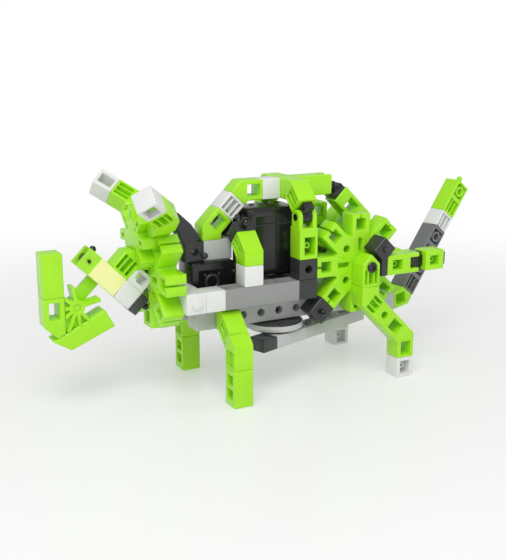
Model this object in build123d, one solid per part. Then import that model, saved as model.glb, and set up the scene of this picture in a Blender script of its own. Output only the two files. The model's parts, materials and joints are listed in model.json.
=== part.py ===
"""Snap-together walking creature from a modular robotics kit, as separate pieces.

Millimetres, +Z up, feet on z = 0, centre plane y = 0, head towards -X.
Every piece follows one grid: a cube of side U. Positions below are written in
modules of U and turned into millimetres by at().
"""
import os
from math import cos, radians, sin, sqrt, tan

from build123d import *

# ---------------------------------------------------------------- dimensions
U = 15.0                 # cube module: width of every rod, cube and arm
EDGE = 0.5               # broken edge of a moulded piece
WEB = 2.4                # middle floor left between two open faces
WALL = 1.7               # side wall of an open cell
RIB = 0.9                # thin rib in an open cell
STAR = 4.9               # side of the two squares that make a star hole
PEG = 5.0                # square snap peg
PEG_LEN = 4.2            # how far a peg enters its socket
PEG_FIT = 0.04           # clearance round a seated peg
AXLE = 5.0               # diameter of the leg axles and pins
RUN = 0.06               # radial running clearance of a turning pin
SWING = 0.5              # side clearance of a part that swings

BODY_Y = 2.0             # rail centre line, modules from the centre plane
UNDER_Y = 1.0            # under beam centre line
UNDER_Z = -0.65          # under beam centre height above the rail's underside
HUB_X, HUB_Z = 7.5, 1.5  # wheel hub centre (rear hip)
HIP_X = 0.4              # front hip axle
S = sqrt(0.5)

THIGH_BEND, THIGH_RUN = 0.7, 3.2       # rear leg: drop to the bend, slanted run
SHIN, FOOT = 1.05, 1.05                # rear leg: elbow's upright part, foot cube
HANGER_DROP = 1.0                      # rear leg: hip axle to the first joint
FLOOR = HUB_Z - HANGER_DROP - THIGH_BEND - THIGH_RUN * S - SHIN - FOOT
X_ORIGIN = 4.426                       # grid x that becomes x = 0

HUB_CORE = 1.5           # half width of the hub's octagon
HUB_TIP = 2.5            # upright arm tip from the centre
HUB_DIAG = 2.62          # slanted arm tip from the centre
HUB_HOLE = 0.8           # star hole offset in the hub

TAIL_PITCH = 7.5         # degrees the tail's foot is tipped up
TAIL_YAW = 10.0          # degrees the tail leans to the far side
LINK_YAW = 19.0          # degrees the long lower link is turned in plan
LINK_LEN = 8.0           # length of the lower link with its dark end
DISC = (3.4, -1.0)       # drive disc axis, x and y
CRANK = (3.1, -1.95)     # crank pin, x and y

parts = {}


def at(x, y, z):
    """Grid position in modules to millimetres."""
    return Vector((x - X_ORIGIN) * U, y * U, (z - FLOOR) * U)


def keep(name, shape):
    """Store one finished piece under its node name."""
    parts[name] = shape


# ------------------------------------------------------------- basic shapes
def block(x0, x1, y0, y1, z0, z1):
    """Box between grid limits (modules), in local axes."""
    return Pos((x0 + x1) / 2 * U, (y0 + y1) / 2 * U, (z0 + z1) / 2 * U) * Box(
        (x1 - x0) * U, (y1 - y0) * U, (z1 - z0) * U)


def slab(points, width=1.0):
    """Prism from an X-Z outline (modules), centred on local y = 0."""
    outline = Polyline(*[(x * U, z * U) for x, z in points], close=True)
    return extrude(Plane.XZ * make_face(outline), amount=width * U / 2, both=True)


def soft(shape, size=EDGE):
    """Break the edges of a plain blank."""
    return chamfer(shape.edges(), size)


def star(x, z, depth=1.4):
    """Star-shaped through hole along local Y."""
    cut = Box(STAR, depth * U, STAR) + Rot(0, 45, 0) * Box(STAR, depth * U, STAR)
    return Pos(x * U, 0, z * U) * cut


def ribbed(x, z=0.0, length=1.0, side=1):
    """Open cell with two thin lengthwise ribs, cut from one face."""
    open_x, open_z = length * U - 2 * WALL, U - 2 * WALL
    depth = (U - WEB) / 2
    cut = Box(open_x, depth, open_z)
    for offset in (-0.17, 0.17):
        cut -= Pos(0, -side * 0.35, offset * U) * Box(open_x, depth, RIB)
    return Pos(x * U, side * (WEB / 2 + depth / 2), z * U) * cut


def window(x, z=0.0, length=0.72, height=0.6):
    """Plain through window along local Y."""
    return Pos(x * U, 0, z * U) * Box(length * U, 1.4 * U, height * U)


def ring(x, z=0.0, side=1):
    """Open cell with a round hole in a raised ring, cut from one face."""
    depth = (U - WEB) / 2
    cut = Box(U - 2 * WALL, depth, U - 2 * WALL)
    cut -= Rot(90, 0, 0) * Cylinder(4.4, depth)
    cut += Rot(90, 0, 0) * Cylinder(3.0, depth)
    return Pos(x * U, side * (WEB / 2 + depth / 2), z * U) * cut


def cell(kind, x, z=0.0):
    """Cut for one cell of a rod: R ribbed, S star hole, W window, O ring, C closed."""
    if kind == "R":
        return [ribbed(x, z, 1.0, 1), ribbed(x, z, 1.0, -1)]
    if kind == "S":
        return [star(x, z)]
    if kind == "W":
        return [window(x, z)]
    if kind == "O":
        return [ring(x, z, 1), ring(x, z, -1)]
    return []


def peg(x=0.0, y=0.0, z=0.0):
    """Square snap peg pointing to local +X from the given point."""
    blank = Pos(PEG_LEN / 2, 0, 0) * Box(PEG_LEN, PEG, PEG)
    return Pos(x * U, y * U, z * U) * chamfer(blank.faces().sort_by(Axis.X)[-1].edges(), 0.6)


def socket(x=0.0, y=0.0, z=0.0):
    """Hole for a peg that points to local +X."""
    deep = PEG_LEN + 0.3
    side = PEG + 2 * PEG_FIT
    return Pos(x * U + deep / 2, y * U, z * U) * Box(deep, side, side)


def rod(cells, length=None, has_peg=True, has_socket=True):
    """Straight rod along local +X with open faces on local +-Y."""
    total = float(len(cells)) if length is None else length
    body = soft(block(0, total, -0.5, 0.5, -0.5, 0.5))
    start = total - len(cells)
    for index, kind in enumerate(cells):
        for cut in cell(kind, start + index + 0.5):
            body -= cut
    if has_socket:
        body -= socket()
    if has_peg:
        body += peg(total)
    return body


def elbow(first, second, cells="", angle=45.0, has_peg=True, has_socket=True):
    """Mitred elbow: along local +X, then turned towards local +Z.

    cells: kind of the last full cell of the first leg and of the second leg.
    """
    c, s, t = cos(radians(angle)), sin(radians(angle)), tan(radians(angle / 2)) / 2
    end = (first + second * c, second * s)
    outline = [(0, -0.5), (first + t, -0.5),
               (end[0] + 0.5 * s, end[1] - 0.5 * c),
               (end[0] - 0.5 * s, end[1] + 0.5 * c),
               (first - t, 0.5), (0, 0.5)]
    body = soft(slab(outline))
    turn = Pos(first * U, 0, 0) * Rot(0, -angle, 0)
    if cells[:1] not in ("", "C"):
        for cut in cell(cells[0], 0.5):
            body -= cut
    if cells[1:2] not in ("", "C"):
        for cut in cell(cells[1], second - 0.5):
            body -= turn * cut
    if has_socket:
        body -= socket()
    if has_peg:
        body += turn * peg(second)
    return body


def ball_pin(length=0.34):
    """Split ball-ended pin along local +X."""
    stem = Rot(0, 90, 0) * Cylinder(1.5, length * U, align=(Align.CENTER, Align.CENTER, Align.MIN))
    return stem + Pos(length * U, 0, 0) * Sphere(2.4)


class Run:
    """Chain of pieces: where the next one starts, its heading and bend side."""

    def __init__(self, origin, heading, bend):
        self.origin = origin
        self.heading = Vector(*heading).normalized()
        self.bend = Vector(*bend).normalized()

    @property
    def place(self):
        """Location that carries a local piece to the chain's end."""
        return Plane(origin=self.origin, x_dir=self.heading, z_dir=self.bend).location

    def go(self, length):
        """Move on along the heading by modules."""
        self.origin = self.origin + self.heading * (length * U)

    def turn(self, angle=45.0):
        """Swing the heading towards the bend side."""
        c, s = cos(radians(angle)), sin(radians(angle))
        heading = self.heading * c + self.bend * s
        self.bend = self.bend * c - self.heading * s
        self.heading = heading

    def rod(self, cells, length=None, **options):
        """Make a straight rod here, move to its end and return it."""
        piece = self.place * rod(cells, length, **options)
        self.go(float(len(cells)) if length is None else length)
        return piece

    def elbow(self, first, second, cells="", angle=45.0, **options):
        """Make an elbow here, follow its bend and return it."""
        piece = self.place * elbow(first, second, cells, angle, **options)
        self.go(first)
        self.turn(angle)
        self.go(second)
        return piece


def far_side(shape):
    """Mirror a near-side piece over the centre plane."""
    return mirror(shape, about=Plane.XZ)


def both_sides(stem, shape):
    """Store a near piece and its mirrored far twin as two nodes."""
    keep(stem + "_near", shape)
    keep(stem + "_far", far_side(shape))


def group(name, *shapes):
    """Join fixed pieces of one kind in one node, each piece a solid of its own."""
    solids = [solid for shape in shapes for solid in shape.solids()]
    keep(name, Compound(children=solids))


def both_solids(stem, *shapes):
    """Group pieces of one limb, once near and once mirrored far."""
    group(stem + "_near", *shapes)
    group(stem + "_far", *[far_side(shape) for shape in shapes])


def pair(name, *shapes):
    """Group near pieces with their mirrored far twins."""
    group(name, *shapes, *[far_side(shape) for shape in shapes])


# ----------------------------------------------------------------- wheel hub
def hub(bore=0.0):
    """Octagonal hub with eight forked arms, flat in local X-Z, 1 module thick."""
    w = HUB_CORE
    cut = w * (2 - sqrt(2)) * 1.18
    outline = [(w, w - cut), (w - cut, w), (cut - w, w), (-w, w - cut),
               (-w, cut - w), (cut - w, -w), (w - cut, -w), (w, cut - w)]
    body = slab(outline)
    for index in range(8):
        tip = HUB_TIP if index % 2 == 0 else HUB_DIAG
        arm = block(HUB_CORE - 0.2, tip, -0.5, 0.5, -0.5, 0.5)
        arm -= block(tip - 0.8, tip - 0.22, -0.6, 0.6, -0.28, 0.28)
        arm -= block(tip - 0.24, tip + 0.1, -0.6, 0.6, -0.06, 0.06)
        body += Rot(0, -45 * index, 0) * arm
    for side in (1, -1):
        for index in range(8):
            hollow = block(0.62, 1.3, 0, 0.38, -0.14, 0.14) if index % 2 == 0 else None
            if hollow is not None:
                hollow = Pos(0, (0.12 if side > 0 else -0.5) * U, 0) * hollow
                body -= Rot(0, -45 * index, 0) * hollow
    for x in (-HUB_HOLE, HUB_HOLE):
        for z in (-HUB_HOLE, HUB_HOLE):
            body -= star(x, z)
    if bore:
        body -= Rot(90, 0, 0) * Cylinder(bore / 2, 2 * U)
    else:
        body -= star(0, 0)
    return body


# ------------------------------------------------------------------- chassis
def peg_hole(x, y, z, heading):
    """Socket cut in a placed piece, peg entering along the given heading."""
    bend = (0, 0, 1) if abs(heading[2]) < 0.5 else (1, 0, 0)
    return Plane(origin=at(x, y, z), x_dir=heading, z_dir=bend).location * socket()


def peg_at(x, y, z, heading):
    """Peg added to a placed piece."""
    bend = (0, 0, 1) if abs(heading[2]) < 0.5 else (1, 0, 0)
    return Plane(origin=at(x, y, z), x_dir=heading, z_dir=bend).location * peg()


def grid_block(x0, x1, y0, y1, z0, z1):
    """Soft-edged block between grid limits, placed."""
    blank = soft(block(x0, x1, y0, y1, z0, z1))
    return Pos(*(at(0, 0, 0))) * blank


front_beam = grid_block(-2, -1, -2.5, 2.5, 0, 1)
for side in (-1, 1):
    front_beam += peg_at(-1, side * BODY_Y, 0.5, (1, 0, 0))
    boss = Rot(90, 0, 0) * Cylinder(3.7, 2.4)
    front_beam += Pos(*at(-1.5, side * 2.5, 0.5)) * boss
for y in (-1, 0, 1):
    front_beam -= Pos(*at(-1.5, y, 1.0)) * Box(9.5, 9.5, 6)
front_beam += peg_at(-2, 0, 0.5, (-1, 0, 0))
keep("cross_beam_front", front_beam)

rear_beam = grid_block(4, 5, -2.5, 2.5, 0, 1)
for side in (-1, 1):
    rear_beam -= peg_hole(4, side * BODY_Y, 0.5, (1, 0, 0))
    rear_beam -= peg_hole(4.5, side * BODY_Y, 1.0, (0, 0, -1))
keep("cross_beam_rear", rear_beam)

rail = Run(at(-1, -BODY_Y, 0.5), (1, 0, 0), (0, 1, 0))
rail_cube = rail.rod("C")
beam = rod("CCCC")
for x in (0.5, 1.5, 2.5, 3.5):
    beam -= ribbed(x, 0, 1.0, -1)
rail_beam = rail.place * beam - peg_hole(1.5, -BODY_Y, 1.0, (0, 0, -1))
pair("rail_beams", rail_beam)

keep("cross_beam_mid", grid_block(2, 3, -1.5, 1.5, 0, 1))

saddle_cube = Run(at(1.5, -BODY_Y, 2.0), (0, 0, -1), (1, 0, 0)).rod("C")
pair("white_cubes", rail_cube, saddle_cube)

star_cube = Run(at(4.5, -BODY_Y, 2.0), (0, 0, -1), (1, 0, 0)).rod("S")
star_cube -= peg_hole(5.0, -BODY_Y, 1.5, (-1, 0, 0))
pair("star_cubes", star_cube)

# Under beams hang below the cross beams on short pads.
UNDER_X = (-1.1, 8.9)
under = Plane(origin=at(UNDER_X[0], -UNDER_Y, UNDER_Z), x_dir=(1, 0, 0), z_dir=(0, 0, 1)).location
beam = rod("CCSSSSSSSC", has_peg=False, has_socket=False)
under_beam = under * beam
for x in (2.5, 4.5):
    pad = block(x - 0.35, x + 0.35, -UNDER_Y - 0.35, -UNDER_Y + 0.35, UNDER_Z + 0.5, 0)
    under_beam += Pos(*at(0, 0, 0)) * pad
front_bore = Pos(*at(HIP_X, -UNDER_Y, UNDER_Z)) * Rot(90, 0, 0) * Cylinder(AXLE / 2 + 0.01, 2 * U)
under_beam -= front_bore
under_far = far_side(under_beam)
shaft_bore = Pos(*at(*DISC, UNDER_Z)) * Cylinder(AXLE / 2 + RUN, 2 * U)
group("under_beams", under_beam - shaft_bore, under_far)

COLUMN_X, COLUMN_TOP, COLUMN_LOW = 8.95, 2.3, -1.6
column = grid_block(COLUMN_X - 0.5, COLUMN_X + 0.5, -0.5, 0.5, COLUMN_LOW, COLUMN_TOP)
for z in (0.35, 1.3):
    column -= Pos(*at(COLUMN_X, 0, z)) * Box(0.62 * U, 1.4 * U, 0.62 * U)
column -= peg_hole(COLUMN_X, 0, COLUMN_TOP, (0, 0, -1))
keep("rear_column", column)

# ------------------------------------------------------ control box and motor
BOX = (2.0, 4.8, -0.95, 0.95, 1.0, 4.4)
case = soft(block(*BOX), 1.6)
case -= block(2.4, 3.5, -1.0, -0.9, 1.4, 4.0)
for x in (2.7, 3.4, 4.1):
    case -= Pos(x * U, 0.95 * U, 2.6 * U) * Box(0.36 * U, 3, 0.36 * U)
keep("control_box", Pos(*at(0, 0, 0)) * case)

motor = soft(block(-1.0, 1.25, -0.8, 0.8, 0.0, 2.0), 1.0)
motor -= block(-0.6, 0.9, -0.9, -0.7, 0.4, 1.6)
keep("motor_housing", Pos(*at(0, 0, 0)) * motor)

clip = Run(at(1.5, -BODY_Y, 2.0), (0, 0, 1), (0, 1, 0))
pair("box_elbows", clip.elbow(0.5, 1.0, "CR", has_socket=False))
CLIP = 0.6
arm = clip.place * (soft(block(0, CLIP, -0.5, 0.5, -0.5, 0.5)) - socket())
arm += clip.place * Pos(CLIP * U, 0, -0.2 * U) * ball_pin(0.4)
pair("box_clips", arm)

# ----------------------------------------------------------------- rear hubs
hub_place = Pos(*at(HUB_X, -BODY_Y, HUB_Z))
wheel = hub_place * hub(bore=AXLE + 0.02)
wheel += peg_at(HUB_X - HUB_TIP, -BODY_Y, HUB_Z, (-1, 0, 0))
both_sides("wheel_hub", wheel)

diag = Run(at(HUB_X - HUB_DIAG * S, -BODY_Y, HUB_Z - HUB_DIAG * S), (-S, 0, -S), (S, 0, -S))
block45 = diag.place * soft(block(0, 1, -0.5, 0.5, -0.5, 0.5))
block45 += diag.place * Pos(1.0 * U, -0.2 * U, 0) * ball_pin(0.36)
pair("corner_blocks", block45)

HIP_END = 3.45
group("hip_axles",
      Pos(*at(HUB_X, 0, HUB_Z)) * Rot(90, 0, 0) * Cylinder(AXLE / 2, 2 * HIP_END * U),
      Pos(*at(HIP_X, 0, UNDER_Z)) * Rot(90, 0, 0) * Cylinder(AXLE / 2, 2 * 1.95 * U))

# ----------------------------------------------------------------- rear legs
gap = SWING / U
LEG_Y = BODY_Y + 1.0 + gap
hanger = slab([(-0.5, -HANGER_DROP), (0.5, -HANGER_DROP), (0.5, 0.14), (0, 0.64), (-0.5, 0.14)])
hanger = soft(hanger)
hanger -= Pos(0, 0, -0.5 * U) * Rot(0, 90, 0) * ribbed(0, 0, 0.96, -1)
hanger -= Rot(90, 0, 0) * Cylinder(AXLE / 2 + RUN, 2 * U)
hanger = Pos(*at(HUB_X, -LEG_Y, HUB_Z)) * hanger
hanger += peg_at(HUB_X, -LEG_Y, HUB_Z - HANGER_DROP, (0, 0, -1))

leg = Run(at(HUB_X, -LEG_Y, HUB_Z - HANGER_DROP), (0, 0, -1), (1, 0, 0))
thigh = elbow(THIGH_BEND, THIGH_RUN - 0.5, "", has_peg=True)
bend = Pos(THIGH_BEND * U, 0, 0) * Rot(0, -45, 0)
for cut in (ribbed(0.35, 0, 0.9, 1), ribbed(0.35, 0, 0.9, -1), star(1.25, 0), window(2.2)):
    thigh -= bend * cut
both_solids("rear_thigh", hanger, leg.place * thigh)
leg.go(THIGH_BEND)
leg.turn()
leg.go(THIGH_RUN - 0.5)
leg.bend = leg.bend * -1
both_sides("rear_shin", leg.elbow(0.5, SHIN, "CW"))
both_sides("rear_foot", leg.rod("W", FOOT, has_peg=False))

# ---------------------------------------------------------------- front legs
HIP_FACE = UNDER_Y + 0.5 + gap
leg = Run(at(HIP_X, -HIP_FACE, UNDER_Z), (0, -1, 0), (0, 0, -1))
hip = leg.place * elbow(0.5 - gap, 1.0, "CR", has_socket=False)
hip -= Pos(*at(HIP_X, -1.5, UNDER_Z)) * Rot(90, 0, 0) * Cylinder(AXLE / 2 + RUN, 0.96 * U)
leg.go(0.5 - gap)
leg.turn()
leg.go(1.0)
both_solids("front_thigh", hip, leg.elbow(0.5, 1.0, "CR"))
shin_length = (leg.origin.Z - 0.0) / U
shin = leg.rod("C", shin_length, has_peg=False)
for z in (0.6, 1.3):
    shin -= Pos(*at(HIP_X, 0, 0)) * Pos(0, leg.origin.Y, (z + FLOOR) * U) * Box(1.4 * U, 0.55 * U, 0.5 * U)
both_sides("front_shin", shin)

# --------------------------------------------------------------- spine arch
keep("neck_beam", grid_block(-0.2, 1.3, -0.5, 0.5, 2, 3) - peg_hole(0.25, 0, 3.0, (0, 0, -1)))
neck = grid_block(-1.2, -0.2, -0.5, 0.5, 2, 3) - Pos(*at(-0.7, 0, 2.5)) * star(0, 0)
neck += Plane(origin=at(-0.3, -0.5, 2.35), x_dir=(0, -1, 0), z_dir=(0, 0, 1)).location * ball_pin(0.3)
LEAN = radians(25)
lean = Run(at(-0.75, 0, 2.9), (-sin(LEAN), 0, cos(LEAN)), (cos(LEAN), 0, sin(LEAN)))
strut = soft(slab([(0.0, -0.45), (1.75, -0.35), (1.75, 0.0), (0.9, 0.35), (0.0, 0.5)], 0.9))
strut = lean.place * strut
strut += lean.place * Pos(0.75 * U, -0.45 * U, 0.05 * U) * Rot(0, 0, -90) * ball_pin(0.25)
keep("neck_block", neck + strut)

arch = Run(at(0.25, 0, 3.0), (0, 0, 1), (1, 0, 0))
first = arch.elbow(0.5, 1.0, "CW", has_socket=False) + peg_at(0.25, 0, 3.0, (0, 0, -1))
slant_cube = arch.rod("R")
second = arch.elbow(0.5, 1.0, "CW")
group("arch_elbows", first, second)
top_x = arch.origin.X / U + X_ORIGIN
group("arch_cubes", slant_cube, arch.rod("C", 4.0 - top_x))
ARCH_Z = arch.origin.Z / U + FLOOR

YOKE = 0.793             # half the yoke's length
yoke = grid_block(4, 5, -YOKE, YOKE, ARCH_Z - 0.5, ARCH_Z + 0.5)
yoke -= peg_hole(4.0, 0, ARCH_Z, (1, 0, 0))
yoke -= peg_hole(5.0, 0, ARCH_Z, (-1, 0, 0))
for side in (-1, 1):
    yoke += peg_at(4.5, side * YOKE, ARCH_Z, (0, side, 0))
keep("arch_yoke", yoke)
drop = Run(at(4.5, -YOKE, ARCH_Z), (0, -1, 0), (0, 0, -1))
pair("arch_arms", drop.elbow(BODY_Y - YOKE - S, 1.0, "CR", has_peg=False))
AXIS_Z = 4.05
post = grid_block(4, 5, -2.5, -1.5, 2.0, 3.55)
post -= Pos(*at(4.55, -BODY_Y, 2.65)) * Box(0.6 * U, 1.4 * U, 0.9 * U)
for x0, x1 in ((4.0, 4.22), (4.78, 5.0)):
    ear = block(x0, x1, -BODY_Y - 0.36, -BODY_Y + 0.36, 3.5, AXIS_Z)
    ear += Pos((x0 + x1) / 2 * U, -BODY_Y * U, AXIS_Z * U) * Rot(0, 90, 0) * Cylinder(0.36 * U, (x1 - x0) * U)
    post += Pos(*at(0, 0, 0)) * ear
post -= Pos(*at(4.5, -BODY_Y, AXIS_Z)) * Rot(0, 90, 0) * Cylinder(AXLE / 2 + 0.02, 2 * U)
pair("arch_posts", post)
barrel = Pos(*at(4.5, -BODY_Y, AXIS_Z)) * Rot(0, 90, 0) * Cylinder(0.34 * U, 0.52 * U)
barrel += Pos(*at(4.5, -BODY_Y, AXIS_Z)) * Rot(0, 90, 0) * Cylinder(AXLE / 2, 1.06 * U)
barrel += drop.place * Pos(0.2 * U, 0, 0) * Box(0.4 * U, 0.52 * U, 0.7 * U)
pair("arch_hinges", barrel)

TONGUE = 7.0             # x of the spine tongue's end
tongue = grid_block(5.0, TONGUE, -0.5, 0.5, ARCH_Z - 0.5, ARCH_Z + 0.5)
tongue += peg_at(5.0, 0, ARCH_Z, (-1, 0, 0))
tongue -= Pos(*at(TONGUE - 0.3, 0, ARCH_Z)) * Box(0.72 * U, 0.5 * U, 1.2 * U)
keep("spine_tongue", tongue)
knuckle = Pos(*at(TONGUE - 0.25, 0, ARCH_Z)) * Rot(90, 0, 0) * Cylinder(0.3 * U, 0.46 * U)
knuckle += Pos(*at(0, 0, 0)) * block(TONGUE - 0.25, TONGUE + 0.35, -0.23, 0.23, ARCH_Z - 0.28, ARCH_Z + 0.1)
spine = Run(at(TONGUE + 0.42, 0, ARCH_Z - 0.4), (S, 0, -S), (-S, 0, -S))
knuckle += spine.place * Box(0.36 * U, 0.9 * U, 0.8 * U)
keep("spine_hinge", knuckle)
spine.go(0.18)
spine_x = spine.origin.X / U + X_ORIGIN
spine_rod = spine.rod("W", (COLUMN_X - spine_x) / S - 0.5, has_socket=False)
rise = spine.origin.Z / U + FLOOR - 0.5 * S - COLUMN_TOP
spine_elbow = spine.elbow(0.5, rise, "C")
group("spine_rod", spine_rod, spine_elbow)

# ------------------------------------------------------------------ rear arm
bracket = Run(at(HUB_X + HUB_HOLE, -2.5, HUB_Z + HUB_HOLE), (0, -1, 0), (S, 0, S))
knob = bracket.place * soft(block(0, 1, -0.45, 0.45, -0.45, 0.45))
knob -= Pos(*at(0, 0, 0)) * block(8.5, 9.2, -3.6, -2.4, 0.8, 1.98)
knob += bracket.place * Pos(U, 0, 0) * ball_pin(0.08)
knob += Pos(*at(0, 0, 0)) * block(8.15, 8.5, -3.45, -2.55, 0.95, 2.3)
keep("rear_bracket", knob)
REAR_ARM_Z = 1.45
ARM_PIN = (10.2, -3.0)   # swivel pin, x and y
PIN_R = 1.5
fork = Pos(*at(0, 0, 0)) * soft(block(8.5, ARM_PIN[0] + 0.23, -3.5, -2.5, REAR_ARM_Z - 0.5, REAR_ARM_Z + 0.5))
fork -= Pos(*at(9.1, -3.0, REAR_ARM_Z)) * Box(0.6 * U, 1.4 * U, 0.5 * U)
fork -= Pos(*at(0, 0, 0)) * block(ARM_PIN[0] - 0.32, ARM_PIN[0] + 0.3, -3.6, -2.4, REAR_ARM_Z - 0.3, REAR_ARM_Z + 0.3)
fork -= Pos(*at(*ARM_PIN, REAR_ARM_Z)) * Cylinder(PIN_R + RUN, 2 * U)
keep("rear_arm_rod", fork)
play = 0.4 / U
swivel = Pos(*at(*ARM_PIN, REAR_ARM_Z)) * Cylinder(0.27 * U, (0.6 - 2 * play) * U)
swivel += Pos(*at(*ARM_PIN, REAR_ARM_Z)) * Cylinder(PIN_R, 0.98 * U)
swivel += Pos(*at(0, 0, 0)) * block(ARM_PIN[0], ARM_PIN[0] + 0.65, -3.2, -2.8, REAR_ARM_Z - 0.26, REAR_ARM_Z + 0.26)
swivel += Pos(*at(ARM_PIN[0] + 0.46, -3.0, REAR_ARM_Z)) * Cylinder(0.19 * U, 0.9 * U)
keep("rear_arm_swivel", swivel)
tip_x = ARM_PIN[0] + 0.65
tip = grid_block(tip_x, tip_x + 1.15, -3.5, -2.5, REAR_ARM_Z - 0.5, REAR_ARM_Z + 0.5)
tip -= Pos(*at(tip_x + 0.55, -3.0, REAR_ARM_Z)) * Box(0.55 * U, 1.4 * U, 0.5 * U)
cap = Pos(*at(0, 0, 0)) * soft(block(tip_x + 1.15, tip_x + 1.4, -3.3, -2.7, REAR_ARM_Z - 0.35, REAR_ARM_Z + 0.35), 0.8)
group("rear_arm_tip", tip, cap)

# ---------------------------------------------------------------------- tail
TAIL_AXIS = (9.95, -1.3)
TAIL_DROP = 0.35         # the tail cube sits below its tongue
clevis = grid_block(COLUMN_X + 0.5, COLUMN_X + 0.68, -0.5, 0.5, COLUMN_LOW, -0.7)
for y0, y1 in ((-0.5, -0.3), (0.3, 0.5)):
    ear = block(COLUMN_X + 0.6, TAIL_AXIS[0], y0, y1, TAIL_AXIS[1] - 0.3, TAIL_AXIS[1] + 0.3)
    ear += Pos(TAIL_AXIS[0] * U, (y0 + y1) / 2 * U, TAIL_AXIS[1] * U) * Rot(90, 0, 0) * Cylinder(
        0.3 * U, (y1 - y0) * U)
    clevis += Pos(*at(0, 0, 0)) * ear
clevis -= Pos(*at(TAIL_AXIS[0], 0, TAIL_AXIS[1])) * Rot(90, 0, 0) * Cylinder(AXLE / 2 + RUN, 2 * U)
keep("tail_clevis", clevis)
pitch, yaw = radians(TAIL_PITCH), radians(TAIL_YAW)
tail = Run(at(TAIL_AXIS[0], 0, TAIL_AXIS[1]),
           (cos(pitch) * cos(yaw), cos(pitch) * sin(yaw), sin(pitch)),
           (-sin(pitch) * cos(yaw), -sin(pitch) * sin(yaw), cos(pitch)))
TAIL_FOOT = 1.3
hinge = Run(at(TAIL_AXIS[0], 0, TAIL_AXIS[1]), (cos(pitch), 0, sin(pitch)), (-sin(pitch), 0, cos(pitch)))
foot = block(0, 0.62, -0.27, 0.27, -0.26, 0.26)
foot += Rot(90, 0, 0) * Cylinder(0.26 * U, 0.54 * U)
foot += Rot(90, 0, 0) * Cylinder(AXLE / 2, 0.98 * U)
cube = soft(block(0.5, TAIL_FOOT, -0.5, 0.5, -0.5 - TAIL_DROP, 0.5 - TAIL_DROP))
cube += peg(TAIL_FOOT, 0, -TAIL_DROP)
keep("tail_base", hinge.place * foot + tail.place * cube)
tail.go(TAIL_FOOT)
tail.origin = tail.origin - tail.bend * (TAIL_DROP * U)
keep("tail_elbow", tail.elbow(0.85, 0.35, "W"))
group("tail_rod", tail.rod("RORO"), tail.rod("R"))
tip = tail.rod("RO", has_peg=False)
keep("tail_tip", tip + tail.place * ball_pin(0.3))

# ------------------------------------------------------- drive disc and link
DISC_TOP, DISC_LOW = UNDER_Z - 0.5 - 0.05, UNDER_Z - 0.5 - 0.45
disc = Pos(*at(*DISC, (DISC_TOP + DISC_LOW) / 2)) * Cylinder(1.42 * U, (DISC_TOP - DISC_LOW) * U)
disc = chamfer(disc.edges(), 1.0)
disc += Pos(*at(*DISC, DISC_TOP + 0.45)) * Cylinder(AXLE / 2, 0.94 * U)
LINK_TOP, LINK_LOW = DISC_LOW - 0.04, DISC_LOW - 0.68
disc += Pos(*at(*CRANK, (DISC_LOW + LINK_LOW) / 2)) * Cylinder(AXLE / 2, (DISC_LOW - LINK_LOW) * U)
keep("drive_disc", disc)
link_dir = (cos(radians(LINK_YAW)), sin(radians(LINK_YAW)), 0)
link_run = Run(at(1.64, -2.43, (LINK_TOP + LINK_LOW) / 2), link_dir, (0, 0, 1))
thick = (LINK_TOP - LINK_LOW) / 2
crank_bore = Pos(*at(*CRANK, LINK_LOW)) * Cylinder(AXLE / 2 + RUN, 3 * U)
end = link_run.place * soft(block(0, 1, -0.5, 0.5, -thick, thick))
bar = link_run.place * soft(block(1, LINK_LEN, -0.5, 0.5, -thick, thick))
for x in (3.5, 4.5, 5.5, 6.5, 7.5):
    bar -= link_run.place * Pos(x * U, 0, 0) * Box(STAR, STAR, 2 * U)
group("link_beam", end, bar - crank_bore)

# ---------------------------------------------------------------------- head
MASK = (-2.5, 1.5)       # mask hub centre, x and z
mask = Plane(origin=at(MASK[0], 0, MASK[1]), x_dir=(0, -1, 0), z_dir=(0, 0, 1)).location * hub()
mask -= peg_hole(-2, 0, 0.5, (-1, 0, 0))
keep("mask_hub", mask)

brow = slab([(0.85, 0.35), (0.35, 0.85), (-0.35, 0.85), (-0.85, 0.35),
             (-0.85, -0.35), (-0.35, -0.85), (0.35, -0.85), (0.85, -0.35)], 0.7)
for index in range(8):
    finger = block(0.7, 1.5, -0.35, 0.35, -0.24, 0.24) - block(0.95, 1.3, -0.4, 0.4, -0.1, 0.1)
    brow += Rot(0, -45 * index, 0) * finger
for x in (-0.5, 0.5):
    for z in (-0.5, 0.5):
        brow -= Pos(x * U, 0, z * U) * Box(2.4, 2 * U, 2.4)
brow = Plane(origin=at(MASK[0] - 0.85, 0, 3.35), x_dir=(0, -1, 0), z_dir=(0, 0, 1)).location * brow
MUZZLE_Z = 2.4
brow -= grid_block(-4.4, -2.4, -0.55, 0.55, MUZZLE_Z - 1.5, MUZZLE_Z + 0.52)
keep("brow_hub", max(brow.solids(), key=lambda solid: solid.volume))

HORN = (-2.85, -1.85, 4.35)
horn = Run(at(*HORN), (0, -S, S), (-1, 0, 0))
root = Polyline((-1.5 * U, 3.66 * U), (-2.2 * U, 4.0 * U), (-1.5 * U, 4.7 * U), (-0.8 * U, 4.0 * U),
                (-0.8 * U, 2.96 * U), close=True)
root = extrude(Plane.YZ * make_face(root), amount=0.42 * U, both=True)
root = Pos(*at(HORN[0], 0, 0)) * root - parts["brow_hub"] - parts["mask_hub"]
root = max(root.solids(), key=lambda solid: solid.volume)
pair("horn_elbows", root, horn.elbow(0.5, 1.0, "CR", has_socket=False))
pair("horn_tips", horn.rod("W", has_peg=False))

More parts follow.
